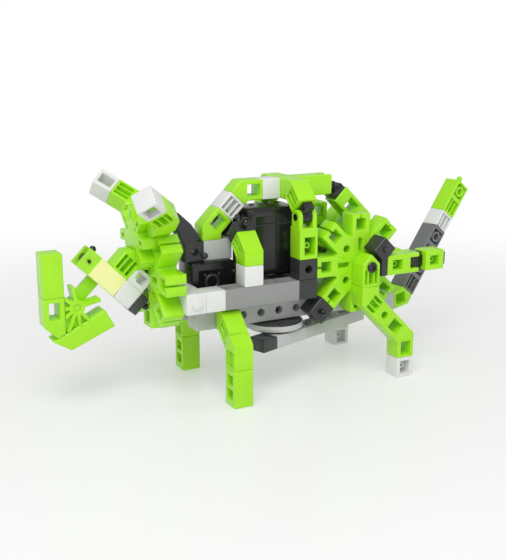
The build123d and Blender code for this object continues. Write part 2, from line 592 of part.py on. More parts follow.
# Muzzle: an elbow from the mask carries a slanted bar with a socket cube.
muzzle = Run(at(MASK[0] - 0.5, 0, MUZZLE_Z), (-1, 0, 0), (0, 0, -1))
keep("muzzle_elbow", muzzle.elbow(0.95, 0.75, "CR", has_socket=False, has_peg=False))
along, across = Vector(S, 0, -S), Vector(S, 0, S)
joint = muzzle.origin - across * (0.5 * U) + along * (0.5 * U)
MUZZLE = 2.35
bar_run = Run(joint - along * (MUZZLE * U), along, across)
bar = soft(block(0.62, MUZZLE, -0.5, 0.5, -0.5, 0.5))
for y0, y1 in ((-0.5, -0.26), (0.26, 0.5)):
    bar += block(0.0, 0.7, y0, y1, -0.5, 0.5)
bar = bar_run.place * (bar + peg(MUZZLE))
pin = Pos(0.3 * U, 0, 0) * Rot(90, 0, 0) * Cylinder(0.24 * U, 0.5 * U)
pin += Pos(0.5 * U, 0, 0) * Box(0.24 * U, 0.5 * U, 0.3 * U)
pin += Pos(0.3 * U, 0, 0) * Rot(90, 0, 0) * Cylinder(1.2, 1.16 * U)
pin += Pos(0.2 * U, -0.1 * U, 0.1 * U) * Rot(0, -90, 0) * ball_pin(0.45)
keep("muzzle_pin", bar_run.place * pin)
bar -= bar_run.place * Pos(0.3 * U, 0, 0) * Rot(90, 0, 0) * Cylinder(1.2 + 0.02, 1.3 * U)
bar_run.go(MUZZLE)
cell_piece = bar_run.rod("C")
end = bar_run.place * (soft(block(0, 0.5, -0.5, 0.5, -0.5, 0.5)) - socket())
end += bar_run.place * Pos(0.5 * U, 0, 0.15 * U) * ball_pin(0.3)
end = max((end - parts["mask_hub"]).solids(), key=lambda solid: solid.volume)
group("muzzle_bar", bar, cell_piece, end)
cup_run = Run(joint + along * (0.5 * U) + across * (0.5 * U), across, along)
cup = soft(block(0, 0.85, -0.5, 0.5, -0.5, 0.5)) - window(0.45, 0, 0.45, 0.6)
cup = cup_run.place * cup - parts["muzzle_elbow"] - parts["mask_hub"]
keep("muzzle_socket", max(cup.solids(), key=lambda solid: solid.volume))

# Nose: fan on a bracket's axle, with the upright horn and the slanted sole.
FAN = (-6.57, 0.5)
NOSE_X = 0.15            # grid shift of the nose pieces
fan_axis = at(FAN[0], 0, FAN[1])
under_bar = joint - across * (0.5 * U)
lift = (under_bar - fan_axis).dot(across) / U
bracket = Run(fan_axis, across, along * -1)
plate = block(0, lift, 0.2, 0.5, -0.3, 0.3)
plate += Pos(0, 0.35 * U, 0) * Rot(90, 0, 0) * Cylinder(0.34 * U, 0.3 * U)
plate += Rot(90, 0, 0) * Cylinder(AXLE / 2, 0.9 * U)
keep("nose_bracket", bracket.place * plate)


def nose(points):
    """Nose piece from X-Z grid points, placed."""
    return Pos(*at(NOSE_X, 0, 0)) * soft(slab(points))


horn_piece = nose([(-8.25, 1.05), (-7.3, 1.05), (-7.3, 3.1), (-8.25, 3.1)])
corner = nose([(-8.25, 1.05), (-8.25, -0.3), (-7.68, -0.86), (-7.3, -0.68), (-7.3, 1.05)])
corner -= Pos(*at(-7.78 + NOSE_X, 0, 0.45)) * Box(0.5 * U, 1.4 * U, 0.8 * U)
sole = nose([(-7.9, -0.988), (-7.05, -1.5), (-4.95, -0.62), (-5.4, 0.222)])
core = Pos(0, -0.165 * U, 0) * Rot(90, 0, 0) * Cylinder(0.36 * U, 0.67 * U)
core += slab([(-0.1, 0.1), (-0.85, 0.35), (-0.85, -1.15), (0.75, -0.85)], 0.2).moved(
    Location((0, -0.2 * U, 0)))
for angle, length in ((100, 1.0), (140, 0.95), (180, 0.8), (215, 1.1), (248, 1.2), (278, 1.15), (308, 1.1),
                      (12, 1.15)):
    core += Rot(0, -angle, 0) * block(0.2, length, -0.5, 0.17, -0.08, 0.08)
core -= Rot(90, 0, 0) * Cylinder(AXLE / 2 + RUN, 2 * U)
core = Pos(*fan_axis) * core
for neighbour in (horn_piece, corner, sole):
    core -= neighbour
core -= Pos(*at(-7.78 + NOSE_X, 0, 0.45)) * Box(1.0 * U, 1.4 * U, 3.0 * U)
keep("nose_fan", max(core.solids(), key=lambda solid: solid.volume))
group("nose_horn", horn_piece, corner)
keep("nose_sole", sole)

os.makedirs("parts", exist_ok=True)
for name, shape in parts.items():
    shape.label = name
    export_step(shape, f"parts/{name}.step")
print(len(parts), "pieces")
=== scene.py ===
"""Studio model of a snap-together walking creature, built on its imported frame.

The CAD nodes keep their own shapes and get softened edges and moulded plastic
finishes. The small fittings that the frame leaves out are made here: screws,
vent slats, keys and sockets of the control box, raised hub webs, axle caps, the
drive disc's rim, snap pins and the webs inside the open cells. The head points
to -X, and +Z is up.
"""
import json
import logging
from dataclasses import dataclass, field
from enum import Enum
from math import cos, pi, radians, sin

import bmesh
import bpy
from mathutils import Matrix, Vector

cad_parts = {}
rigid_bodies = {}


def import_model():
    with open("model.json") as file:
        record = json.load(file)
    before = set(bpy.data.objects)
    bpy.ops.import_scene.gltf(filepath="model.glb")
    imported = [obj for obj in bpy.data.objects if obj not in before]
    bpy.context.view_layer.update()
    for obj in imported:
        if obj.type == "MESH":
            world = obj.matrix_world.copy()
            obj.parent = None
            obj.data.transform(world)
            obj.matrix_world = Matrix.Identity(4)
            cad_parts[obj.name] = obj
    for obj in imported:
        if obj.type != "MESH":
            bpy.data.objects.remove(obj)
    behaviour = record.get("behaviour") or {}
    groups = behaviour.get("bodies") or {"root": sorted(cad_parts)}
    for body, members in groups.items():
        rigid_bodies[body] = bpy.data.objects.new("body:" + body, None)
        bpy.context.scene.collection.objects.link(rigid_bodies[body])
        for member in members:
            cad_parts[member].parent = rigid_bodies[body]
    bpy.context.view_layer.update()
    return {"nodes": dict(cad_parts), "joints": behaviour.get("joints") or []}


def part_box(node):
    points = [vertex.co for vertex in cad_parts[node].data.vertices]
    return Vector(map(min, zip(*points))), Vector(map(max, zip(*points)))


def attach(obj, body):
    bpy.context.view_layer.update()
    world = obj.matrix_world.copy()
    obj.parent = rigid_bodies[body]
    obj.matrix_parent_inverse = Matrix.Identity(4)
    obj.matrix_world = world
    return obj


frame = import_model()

log = logging.getLogger("walker")
Colour = tuple[float, float, float]


# ------------------------------------------------------------------ finishes
@dataclass(frozen=True)
class Finish:
    """A spark-textured moulded plastic.

    Attributes:
        name: Name of the Blender material.
        colour: Linear base colour.
        slot: The record's material slot that this finish belongs to.
        roughness: Middle roughness of the surface.
        mottle: How far the colour drifts over a few centimetres.
        highlight_strength: How strongly the painted edge highlight shows on the sharp edges.
        grain: Height of the spark texture in metres.
        coat: Weight of the clear gloss over the colour.
        glow: Weight of the light that scatters inside the wall.
        highlight_whiteness: How far the painted edge highlight goes from the base colour to white.
        drift_waves: Waves per metre of the colour's drift.
        gloss_and_highlight_waves: Waves per metre of the roughness drift left by handling, which also places
            the painted edge highlight.
        spark_waves: Waves per metre of the spark texture.
    """

    name: str
    colour: Colour
    slot: str
    roughness: float = 0.32
    mottle: float = 0.05
    # Strength of the painted edge highlight.
    highlight_strength: float = 0.22
    grain: float = 0.00002
    coat: float = 0.08
    glow: float = 0.0
    # Whiteness of the painted edge highlight.
    highlight_whiteness: float = 0.22
    drift_waves: float = 38.0
    gloss_and_highlight_waves: float = 55.0
    spark_waves: float = 2600.0

    def shade(self, factor: float) -> tuple[float, float, float, float]:
        """Return the base colour times a factor, as RGBA."""
        return tuple(min(channel * factor, 1.0) for channel in self.colour) + (1.0,)

    def pale(self) -> tuple[float, float, float, float]:
        """Return the colour of the painted edge highlight, as RGBA."""
        return tuple(channel + (1.0 - channel) * self.highlight_whiteness for channel in self.colour) + (1.0,)

    def build(self) -> bpy.types.Material:
        """Make the node material.

        Returns:
            The finished material.
        """
        material = bpy.data.materials.new(self.name)
        material.use_nodes = True
        tree = material.node_tree
        shader = tree.nodes["Principled BSDF"]
        shader.inputs["Coat Weight"].default_value = self.coat
        shader.inputs["Coat Roughness"].default_value = 0.22
        shader.inputs["IOR"].default_value = 1.50
        shader.inputs["Specular IOR Level"].default_value = 0.4
        if self.glow:
            shader.inputs["Subsurface Weight"].default_value = self.glow
            shader.inputs["Subsurface Radius"].default_value = (0.6, 1.0, 0.3)
            shader.inputs["Subsurface Scale"].default_value = 0.0015
        place = tree.nodes.new("ShaderNodeTexCoord").outputs["Object"]
        gloss_and_highlight_noise = self._noise(tree, place, self.gloss_and_highlight_waves, detail=1.0)
        gloss = self._ranged(tree, gloss_and_highlight_noise, (0.3, 0.7), (self.roughness - 0.04, self.roughness + 0.05))
        tree.links.new(self._tint(tree, place, gloss_and_highlight_noise), shader.inputs["Base Color"])
        tree.links.new(gloss, shader.inputs["Roughness"])
        tree.links.new(self._spark(tree, place), shader.inputs["Normal"])
        return material

    def _tint(self, tree: bpy.types.NodeTree, place: bpy.types.NodeSocket,
              gloss_and_highlight_noise: bpy.types.NodeSocket) -> bpy.types.NodeSocket:
        """Make the drifting colour, with a painted highlight along the sharp edges.

        Args:
            tree: Tree that gets the nodes.
            place: Where the pattern is read.
            gloss_and_highlight_noise: Where along the edges the painted highlight shows.

        Returns:
            The colour's output.
        """
        colour = tree.nodes.new("ShaderNodeValToRGB")
        darker, lighter = colour.color_ramp.elements
        darker.position, darker.color = 0.3, self.shade(1.0 - self.mottle)
        lighter.position, lighter.color = 0.7, self.shade(1.0 + self.mottle * 0.6)
        tree.links.new(self._noise(tree, place, self.drift_waves, detail=3.0), colour.inputs["Fac"])
        # Painted edge highlight: sharp edges, found by pointiness, are lightened towards white in patches of
        # the noise.
        corner = tree.nodes.new("ShaderNodeNewGeometry").outputs["Pointiness"]
        highlight_mask = tree.nodes.new("ShaderNodeMath")
        highlight_mask.operation = "MULTIPLY"
        tree.links.new(self._ranged(tree, corner, (0.60, 0.80), (0.0, self.highlight_strength)), highlight_mask.inputs[0])
        tree.links.new(gloss_and_highlight_noise, highlight_mask.inputs[1])
        highlight_mix = tree.nodes.new("ShaderNodeMix")
        highlight_mix.data_type = "RGBA"
        highlight_mix.inputs["B"].default_value = self.pale()
        tree.links.new(highlight_mask.outputs["Value"], highlight_mix.inputs["Factor"])
        tree.links.new(colour.outputs["Color"], highlight_mix.inputs["A"])
        return highlight_mix.outputs["Result"]

    def _spark(self, tree: bpy.types.NodeTree, place: bpy.types.NodeSocket) -> bpy.types.NodeSocket:
        """Make the fine bump of the spark-eroded mould.

        Args:
            tree: Tree that gets the nodes.
            place: Where the pattern is read.

        Returns:
            The bump's normal output.
        """
        bump = tree.nodes.new("ShaderNodeBump")
        bump.inputs["Strength"].default_value = 0.35
        bump.inputs["Distance"].default_value = self.grain
        tree.links.new(self._noise(tree, place, self.spark_waves, detail=1.0), bump.inputs["Height"])
        return bump.outputs["Normal"]

    @staticmethod
    def _ranged(tree: bpy.types.NodeTree, value: bpy.types.NodeSocket, given: tuple[float, float],
                wanted: tuple[float, float]) -> bpy.types.NodeSocket:
        """Map a value from one range to another, held at both ends.

        Args:
            tree: Tree that gets the node.
            value: The value to map.
            given: Low and high end of its range.
            wanted: What the two ends become.

        Returns:
            The mapped value's output.
        """
        ranged = tree.nodes.new("ShaderNodeMapRange")
        ranged.inputs["From Min"].default_value, ranged.inputs["From Max"].default_value = given
        ranged.inputs["To Min"].default_value, ranged.inputs["To Max"].default_value = wanted
        tree.links.new(value, ranged.inputs["Value"])
        return ranged.outputs["Result"]

    @staticmethod
    def _noise(tree: bpy.types.NodeTree, vector: bpy.types.NodeSocket, scale: float,
               detail: float) -> bpy.types.NodeSocket:
        """Add a noise texture.

        Args:
            tree: Tree that gets the node.
            vector: Where the pattern is read.
            scale: Waves per metre.
            detail: Octaves of finer noise.

        Returns:
            The noise's factor output.
        """
        noise = tree.nodes.new("ShaderNodeTexNoise")
        noise.inputs["Scale"].default_value = scale
        noise.inputs["Detail"].default_value = detail
        tree.links.new(vector, noise.inputs["Vector"])
        return noise.outputs["Fac"]


class Plastic(Enum):
    LIME = Finish("lime_moulded", (0.37, 0.80, 0.012), "lime_plastic", roughness=0.26, glow=0.08)
    # Yellow-green plastic; its colour is lifted towards white by a painted highlight.
    PALE_LIME = Finish("pale_lime_moulded", (0.93, 0.93, 0.40), "yellow_green_plastic", roughness=0.28,
                       glow=0.10)
    # The white gets a weaker painted edge highlight.
    WHITE = Finish("white_moulded", (0.76, 0.77, 0.75), "white_plastic", mottle=0.04, highlight_strength=0.15)
    LIGHT_GREY = Finish("light_grey_moulded", (0.50, 0.51, 0.50), "light_grey_plastic", mottle=0.05)
    RAIL_GREY = Finish("rail_grey_moulded", (0.29, 0.295, 0.29), "mid_grey_plastic", mottle=0.05)
    MID_GREY = Finish("mid_grey_moulded", (0.16, 0.165, 0.165), "mid_grey_plastic", mottle=0.07)
    DARK_GREY = Finish("dark_grey_moulded", (0.034, 0.036, 0.038), "dark_grey_plastic", mottle=0.08)
    BLACK = Finish("black_moulded", (0.009, 0.009, 0.010), "black_plastic", roughness=0.22, mottle=0.06,
                   coat=0.35)

    @property
    def slot(self) -> str:
        """Return the record's material slot."""
        return self.value.slot


class Paintbox:
    """Makes each plastic's material once and hands it out."""

    def __init__(self) -> None:
        """Start with no material made."""
        self._made: dict[Plastic, bpy.types.Material] = {}

    def get(self, plastic: Plastic) -> bpy.types.Material:
        """Return the material of a plastic, made on first use."""
        if plastic not in self._made:
            self._made[plastic] = plastic.value.build()
        return self._made[plastic]


PAINT = Paintbox()


# --------------------------------------------------------------- mesh making
SHARP = radians(35)      # fittings: an edge sharper than this stays crisp
NODE_SHARP = radians(32)  # CAD nodes: the same, and where the soft edges go


def module() -> float:
    low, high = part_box("cross_beam_mid")
    return high.x - low.x


def mesh_from(build: bmesh.types.BMesh, name: str) -> bpy.types.Mesh:
    """Turn a bmesh into a mesh with outward faces.

    Args:
        build: The bmesh, which is freed.
        name: Name of the mesh.

    Returns:
        The mesh.
    """
    bmesh.ops.remove_doubles(build, verts=build.verts, dist=1e-7)
    bmesh.ops.recalc_face_normals(build, faces=build.faces)
    mesh = bpy.data.meshes.new(name)
    build.to_mesh(mesh)
    build.free()
    return mesh


def lathe(profile: list[tuple[float, float]], segments: int = 40, name: str = "turned") -> bpy.types.Mesh:
    """Turn a profile about Z.

    Args:
        profile: (radius, height) points from the lower pole to the upper pole.
        segments: Faces round the axis.
        name: Name of the mesh.

    Returns:
        A closed mesh.
    """
    build = bmesh.new()
    rings = []
    for radius, height in profile:
        if radius < 1e-9:
            rings.append([build.verts.new((0, 0, height))])
            continue
        angles = (2 * pi * step / segments for step in range(segments))
        rings.append([build.verts.new((radius * cos(a), radius * sin(a), height)) for a in angles])
    for lower, upper in zip(rings, rings[1:]):
        for step in range(segments):
            ahead = (step + 1) % segments
            corners = [lower[step % len(lower)], lower[ahead % len(lower)],
                       upper[ahead % len(upper)], upper[step % len(upper)]]
            unique = list(dict.fromkeys(corners))
            if len(unique) > 2:
                build.faces.new(unique)
    return mesh_from(build, name)


def rounded_box(size: Vector, edge: float, centre: Vector = Vector(),
                name: str = "moulded_block") -> bpy.types.Mesh:
    """Box with rounded edges.

    Args:
        size: Full lengths along the axes.
        edge: Radius of the edges.
        centre: Middle of the box.
        name: Name of the mesh.

    Returns:
        A closed mesh.
    """
    build = bmesh.new()
    bmesh.ops.create_cube(build, size=1.0, matrix=Matrix.Translation(centre) @ Matrix.Diagonal((*size, 1.0)))
    bmesh.ops.bevel(build, geom=build.edges[:], offset=edge, segments=3, profile=0.5, affect="EDGES")
    return mesh_from(build, name)


def star_prism(side: float, depth: float) -> bpy.types.Mesh:
    """Eight-pointed prism along Z, as a cutter.

    Args:
        side: Side of the two crossed squares.
        depth: Length of the prism, centred on the origin.

    Returns:
        A closed mesh.
    """
    build = bmesh.new()
    outer, inner = side / 2 * 2 ** 0.5, side / 2 / cos(pi / 8)
    corners = []
    for step in range(16):
        radius = outer if step % 2 == 0 else inner
        corners.append((radius * cos(pi / 8 * step), radius * sin(pi / 8 * step)))
    top = build.faces.new([build.verts.new((x, y, depth / 2)) for x, y in corners])
    pushed = bmesh.ops.extrude_face_region(build, geom=[top])
    sunk = [item for item in pushed["geom"] if isinstance(item, bmesh.types.BMVert)]
    bmesh.ops.translate(build, verts=sunk, vec=(0, 0, -depth))
    return mesh_from(build, "star_cutter")


def carve(mesh: bpy.types.Mesh, *cutters: tuple[bpy.types.Mesh, Matrix]) -> bpy.types.Mesh:
    """Cut shapes out of a mesh.

    Args:
        mesh: The blank.
        *cutters: Each cutter's mesh and its place.

    Returns:
        The cut mesh.
    """
    blank = bpy.data.objects.new("blank", mesh)
    bpy.context.scene.collection.objects.link(blank)
    tools = []
    for cutter, place in cutters:
        tool = bpy.data.objects.new("cutter", cutter.copy())
        tool.data.transform(place)
        bpy.context.scene.collection.objects.link(tool)
        step = blank.modifiers.new("cut", "BOOLEAN")
        step.object = tool
        step.solver = "EXACT"
        tools.append(tool)
    result = baked(blank)
    for item in (*tools, blank):
        bpy.data.objects.remove(item)
    return result


def baked(thing: bpy.types.Object) -> bpy.types.Mesh:
    """Return the evaluated mesh of an object as a plain mesh."""
    bpy.context.view_layer.update()
    graph = bpy.context.evaluated_depsgraph_get()
    return bpy.data.meshes.new_from_object(thing.evaluated_get(graph), depsgraph=graph)


def add_piece(name: str, mesh: bpy.types.Mesh, plastic: Plastic, body: str) -> None:
    """Put a finished mesh in the scene as a piece.

    Args:
        name: Name of the piece.
        mesh: Mesh with its place in its vertices.
        plastic: Finish of the whole piece.
        body: CAD body that the piece rides on.
    """
    piece = bpy.data.objects.new(name, mesh)
    bpy.context.scene.collection.objects.link(piece)
    mesh.materials.clear()
    mesh.materials.append(PAINT.get(plastic))
    mesh.shade_smooth()
    mesh.set_sharp_from_angle(angle=SHARP)
    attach(piece, body)
    plastic.slot
    log.info("piece %s on %s, %d faces", name, body, len(mesh.polygons))


def ring_profile(inner: float, outer: float, root: float, shoulder: float, top: float,
                 slope: float) -> list[tuple[float, float]]:
    """Closed profile of a flat ring whose two upper edges are sloped off.

    Args:
        inner: Radius of the hole.
        outer: Outer radius.
        root: Depth of the ring below local z = 0.
        shoulder: Height where the slopes start.
        top: Height of the ring's flat.
        slope: Width of each slope.

    Returns:
        The (radius, height) points for the lathe.
    """
    return [(inner, -root), (outer, -root), (outer, shoulder), (outer - slope, top), (inner + slope, top),
            (inner, shoulder), (inner, -root)]


def turn_to(normal: Vector, origin: Vector) -> Matrix:
    """Matrix that stands local +Z along a normal at a place.

    Args:
        normal: Where local +Z points.
        origin: Where the local origin goes.

    Returns:
        The placing matrix.
    """
    return Matrix.Translation(origin) @ normal.to_track_quat("Z", "Y").to_matrix().to_4x4()


# ------------------------------------------------------------ geometry nodes
class Layout(Enum):
    """How copies of a unit are laid out."""

    RING = "ring"
    ROW = "row"


class Repeater:
    """Geometry Nodes trees that repeat a unit in a ring or in a row."""

    def __init__(self) -> None:
        """Build both trees once."""
        self.trees = {layout: self._tree(layout) for layout in Layout}

    @staticmethod
    def _tree(layout: Layout) -> bpy.types.GeometryNodeTree:
        """Build one tree.

        Args:
            layout: Ring about Z, or row along an offset.

        Returns:
            The tree, with the inputs Unit, Count, Radius, Step and Finish.
        """
        tree = bpy.data.node_groups.new(f"repeat_{layout.value}", "GeometryNodeTree")
        sockets = (("Unit", "NodeSocketObject"), ("Count", "NodeSocketInt"),
                   ("Radius", "NodeSocketFloat"), ("Step", "NodeSocketVector"),
                   ("Finish", "NodeSocketMaterial"))
        for label, kind in sockets:
            tree.interface.new_socket(label, in_out="INPUT", socket_type=kind)
        tree.interface.new_socket("Geometry", in_out="OUTPUT", socket_type="NodeSocketGeometry")
        start, end = tree.nodes.new("NodeGroupInput"), tree.nodes.new("NodeGroupOutput")
        unit = tree.nodes.new("GeometryNodeObjectInfo")
        copies = tree.nodes.new("GeometryNodeInstanceOnPoints")
        real = tree.nodes.new("GeometryNodeRealizeInstances")
        paint = tree.nodes.new("GeometryNodeSetMaterial")
        link = tree.links.new
        link(start.outputs["Unit"], unit.inputs["Object"])
        if layout is Layout.RING:
            points = tree.nodes.new("GeometryNodeMeshCircle")
            link(start.outputs["Count"], points.inputs["Vertices"])
            link(start.outputs["Radius"], points.inputs["Radius"])
            aim = tree.nodes.new("FunctionNodeAlignRotationToVector")
            aim.axis = "X"
            aim.pivot_axis = "Z"
            link(tree.nodes.new("GeometryNodeInputPosition").outputs["Position"], aim.inputs["Vector"])
            link(aim.outputs["Rotation"], copies.inputs["Rotation"])
        else:
            points = tree.nodes.new("GeometryNodeMeshLine")
            points.mode = "OFFSET"
            link(start.outputs["Count"], points.inputs["Count"])
            link(start.outputs["Step"], points.inputs["Offset"])
        link(points.outputs["Mesh"], copies.inputs["Points"])
        link(unit.outputs["Geometry"], copies.inputs["Instance"])
        link(copies.outputs["Instances"], real.inputs["Geometry"])
        link(real.outputs["Geometry"], paint.inputs["Geometry"])
        link(start.outputs["Finish"], paint.inputs["Material"])
        link(paint.outputs["Geometry"], end.inputs["Geometry"])
        return tree

    def repeat(self, layout: Layout, unit: bpy.types.Mesh, count: int, plastic: Plastic,
               radius: float = 0.0, step: Vector = Vector()) -> bpy.types.Mesh:
        """Repeat a unit and return the copies as one plain mesh.

        Args:
            layout: Ring about Z, or row from the origin.
            unit: Mesh of one copy; in a ring its +X points outwards.
            count: Number of copies.
            plastic: Finish of the copies.
            radius: Radius of a ring.
            step: Offset from copy to copy in a row.

        Returns:
            The realised mesh.
        """
        scene = bpy.context.scene.collection.objects
        single = bpy.data.objects.new("unit", unit)
        host = bpy.data.objects.new("host", bpy.data.meshes.new("host"))
        scene.link(single)
        scene.link(host)
        modifier = host.modifiers.new("repeat", "NODES")
        modifier.node_group = self.trees[layout]
        values = {"Unit": single, "Count": count, "Radius": radius, "Step": step,
                  "Finish": PAINT.get(plastic)}
        for item in modifier.node_group.interface.items_tree:
            if item.in_out == "INPUT":
                modifier[item.identifier] = values[item.name]
        result = baked(host)
        bpy.data.objects.remove(host)
        bpy.data.objects.remove(single)
        return result


REPEAT = Repeater()


def joined(name: str, *meshes: bpy.types.Mesh) -> bpy.types.Mesh:
    """Join meshes in one.

    Args:
        name: Name of the result.
        *meshes: Meshes in place.

    Returns:
        The joined mesh.
    """
    build = bmesh.new()
    for mesh in meshes:
        build.from_mesh(mesh)
    result = bpy.data.meshes.new(name)
    build.to_mesh(result)
    build.free()
    return result


def moved(mesh: bpy.types.Mesh, place: Matrix) -> bpy.types.Mesh:
    """Return a copy of a mesh, put in its place."""
    copy = mesh.copy()
    copy.transform(place)
    return copy


def cross_screw(radius: float) -> bpy.types.Mesh:
    """Pan head of a cross-recess screw, standing on local z = 0.

    Args:
        radius: Radius of the head.

    Returns:
        The head's mesh.
    """
    height = radius * 0.55
    skirt, crown, root = height * 0.35, height * 0.65, height * 0.2
    arc = [(radius * cos(radians(a)), skirt + crown * sin(radians(a))) for a in range(0, 90, 15)]
    head = lathe([(0.0, -root), (radius, -root), *arc, (0.0, height)], 28, "screw_head")
    slot = rounded_box(Vector((radius * 1.15, radius * 0.26, height * 1.1)), radius * 0.04)
    up = Matrix.Translation((0, 0, height))
    return carve(head, (slot, up), (slot, up @ Matrix.Rotation(pi / 2, 4, "Z")))


# ----------------------------------------------------------------- CAD nodes
@dataclass
class KitParts:
    """The carried-over CAD pieces: which plastic each is moulded in, and its soft edges.

    Attributes:
        edge: Width of the softened edge in metres.
        weld: Corners closer than this are made one, in metres.
        muzzle_peg: How far the muzzle's end stands past its cells, in modules and metres.
        muzzle_white: From the muzzle's cells' end to the start of the white, in modules.
        muzzle_dark: From there to the start of the dark end, in modules.
        muzzle_root: Length of the lime root of the muzzle, in modules.
        tail_white: Length of the tail rod's white end along its slope, in modules.
        link_dark: Length of the link's dark end, in modules.
        tip_cap: Length of the rear arm tip's black cap, in modules.
        colours: Nodes of each plastic.
    """

    edge: float = 0.00022
    weld: float = 0.000002
    muzzle_peg: tuple[float, float] = (0.3, 0.0024)
    muzzle_white: float = 1.5
    muzzle_dark: float = 0.5
    muzzle_root: float = 0.62
    tail_white: float = 1.3
    link_dark: float = 0.97
    tip_cap: float = 0.26
    colours: dict[Plastic, tuple[str, ...]] = field(default_factory=lambda: {
        Plastic.LIME: (
            "box_elbows", "wheel_hub_near", "wheel_hub_far", "arch_elbows", "arch_yoke", "arch_arms",
            "arch_posts", "spine_tongue", "spine_rod", "rear_thigh_near", "rear_thigh_far", "rear_shin_near",
            "rear_shin_far",
            "front_thigh_near", "front_thigh_far", "front_shin_near", "front_shin_far", "rear_arm_rod",
            "rear_arm_tip", "mask_hub", "brow_hub", "horn_elbows", "muzzle_elbow", "nose_bracket", "nose_fan",
            "nose_horn", "nose_sole", "tail_elbow", "tail_tip"),
        # The muzzle bar's yellow-green carries a painted highlight in its colour.
        Plastic.PALE_LIME: ("muzzle_bar",),
        Plastic.WHITE: (
            "white_cubes", "cross_beam_front", "arch_cubes", "muzzle_socket", "rear_foot_near",
            "rear_foot_far", "horn_tips"),
        Plastic.LIGHT_GREY: (
            "under_beams", "neck_beam", "link_beam", "rear_column", "tail_clevis", "tail_base"),
        Plastic.RAIL_GREY: ("rail_beams",),
        Plastic.MID_GREY: ("tail_rod",),
        Plastic.DARK_GREY: (
            "cross_beam_rear", "cross_beam_mid", "star_cubes", "corner_blocks", "rear_bracket",
            "box_clips", "neck_block", "drive_disc"),
        Plastic.BLACK: (
            "arch_hinges", "control_box", "hip_axles", "motor_housing", "muzzle_pin",
            "rear_arm_swivel", "spine_hinge"),
    })

    def dress(self) -> None:
        """Give every CAD node its plastic and its soft edges."""
        for plastic, names in self.colours.items():
            for name in names:
                self._paint(frame["nodes"][name], plastic)
        bare = set(frame["nodes"]) - {name for names in self.colours.values() for name in names}
        if bare:
            log.warning("nodes with no plastic: %s", sorted(bare))
        self._second_colours()

    def _paint(self, node: bpy.types.Object, plastic: Plastic) -> None:
        """Paint one node and round its edges.

        Args:
            node: The CAD node's object.
            plastic: Its plastic.
        """
        node.data.materials.clear()
        node.data.materials.append(PAINT.get(plastic))
        weld = node.modifiers.new("weld", "WELD")
        weld.merge_threshold = self.weld
        bevel = node.modifiers.new("soft_edges", "BEVEL")
        bevel.width = self.edge
        bevel.segments = 2
        bevel.limit_method = "ANGLE"
        bevel.angle_limit = NODE_SHARP
        node.data.shade_smooth()
        node.data.set_sharp_from_angle(angle=NODE_SHARP)

    def _second_colours(self) -> None:
        """Repaint the solids of another colour that share a node."""
        u = module()
        slope = Vector((1, 0, -1)).normalized()
        peg = self.muzzle_peg[0] * u + self.muzzle_peg[1]
        self._band("muzzle_bar", slope, from_end=self.muzzle_white * u + peg, plastic=Plastic.WHITE)
        self._band("muzzle_bar", slope, from_end=self.muzzle_dark * u + peg, plastic=Plastic.DARK_GREY)
        self._band("muzzle_bar", -slope, from_end=self.muzzle_root * u, plastic=Plastic.LIME)
        low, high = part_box("tail_rod")
        rise = (high - low).normalized()
        self._band("tail_rod", rise, from_end=self.tail_white * u, plastic=Plastic.WHITE)
        low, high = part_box("link_beam")
        sweep = Vector((low.x - high.x, low.y - high.y, 0)).normalized()
        self._band("link_beam", sweep, from_end=self.link_dark * u, plastic=Plastic.DARK_GREY)
        self._band("rear_arm_tip", Vector((1, 0, 0)), from_end=self.tip_cap * u, plastic=Plastic.BLACK)

    @staticmethod
    def _band(name: str, along: Vector, from_end: float, plastic: Plastic) -> None:
        """Give the faces near a node's far end another plastic.

        Args:
            name: The CAD node.
            along: Direction towards that end.
            from_end: Length of the band.
            plastic: The band's plastic.
        """
        mesh = frame["nodes"][name].data
        mesh.materials.append(PAINT.get(plastic))
        limit = max(vertex.co.dot(along) for vertex in mesh.vertices) - from_end
        for face in mesh.polygons:
            if face.center.dot(along) > limit:
                face.material_index = len(mesh.materials) - 1


# ------------------------------------------------------------- sub-assemblies
PEG = 0.28               # how far a snap peg stands out of its piece, in modules


def hub_centre(name: str) -> Vector:
    """Return the middle of a wheel hub, whose box also holds its front peg."""
    low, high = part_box(name)
    middle = (low + high) / 2
    middle.x += PEG * module() / 2
    return middle


